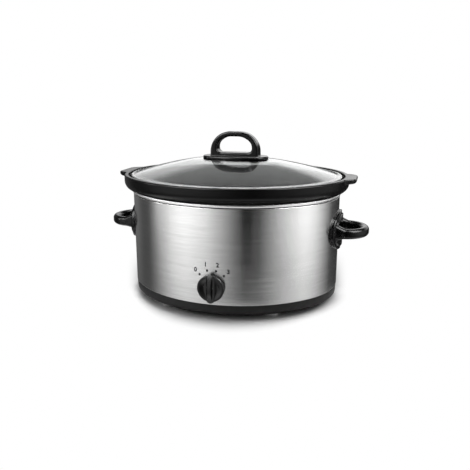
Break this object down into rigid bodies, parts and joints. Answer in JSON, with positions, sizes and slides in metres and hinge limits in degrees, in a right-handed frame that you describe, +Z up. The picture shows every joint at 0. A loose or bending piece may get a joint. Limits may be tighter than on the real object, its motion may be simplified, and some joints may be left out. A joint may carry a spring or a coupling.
{
  "type": "slow cooker",
  "caption": "Oval slow cooker: a brushed steel heating base with loop handles and a rotary knob, a lift-out black stoneware crock and a domed glass lid with an arched handle.",
  "frame": {"origin": "on the surface that the cooker stands on, under the middle of its oval body", "axes": "+X along the oval's length towards the right handle, +Y towards the back, +Z up; the knob faces -Y"},
  "size_m": [0.4108, 0.297, 0.25],
  "materials": {
    "brushed_wrap": "brushed",
    "liner_metal": "satin",
    "black_plastic": "glossy",
    "base_plastic": "satin",
    "foot_rubber": "matte",
    "black_glaze": "glossy glaze",
    "lid_glass": "clear",
    "plated_steel": "plated",
    "washer_rubber": "matte",
    "heater_wrap": "woven",
    "switch_plastic": "matte",
    "terminal_brass": "plain",
    "lead_sleeve": "matte"
  },
  "bodies": {
    "heating_base": {"back_left_foot": "foot_rubber", "back_right_foot": "foot_rubber", "base_screws": "plated_steel", "base_tray": "base_plastic", "cord_gland": "base_plastic", "cutoff_clip": "plated_steel", "cutoff_lead": "lead_sleeve", "front_left_foot": "foot_rubber", "front_right_foot": "foot_rubber", "handle_screws": "plated_steel", "handle_washers": "plated_steel", "heat_shield": "plated_steel", "heater_band": "heater_wrap", "heater_strap": "plated_steel", "heating_liner": "liner_metal", "high_heat_lead": "lead_sleeve", "lead_connectors": "lead_sleeve", "left_handle": "black_plastic", "liner_posts": "plated_steel", "low_heat_lead": "lead_sleeve", "neutral_lead": "lead_sleeve", "outer_wrap": "brushed_wrap", "right_handle": "black_plastic", "strap_bolt": "plated_steel", "strap_nut": "plated_steel", "switch_body": "switch_plastic", "switch_lead": "lead_sleeve", "switch_nut": "plated_steel", "switch_plate": "plated_steel", "switch_terminals": "terminal_brass", "thermal_cutoff": "plated_steel"},
    "knob": {"control_knob": "black_plastic", "knob_clip": "plated_steel", "switch_spindle": "plated_steel"},
    "crock": {"stoneware_crock": "black_glaze"},
    "lid": {"lid_glass": "lid_glass", "lid_handle": "black_plastic", "lid_screws": "plated_steel", "lid_washers": "washer_rubber"}
  },
  "joints": [
    {"name": "knob_turn", "type": "hinge", "parent": "heating_base", "child": "knob", "pos_m": [0, -0.135, 0.0467], "axis": [0, 1, 0], "range_deg": [-45, 45]},
    {"name": "crock_lift", "type": "slide", "parent": "heating_base", "child": "crock", "axis": [0, 0, 1], "range_m": [0, 0.16]},
    {"name": "lid_lift", "type": "slide", "parent": "crock", "child": "lid", "axis": [0, 0, 1], "range_m": [0, 0.1]}
  ]
}
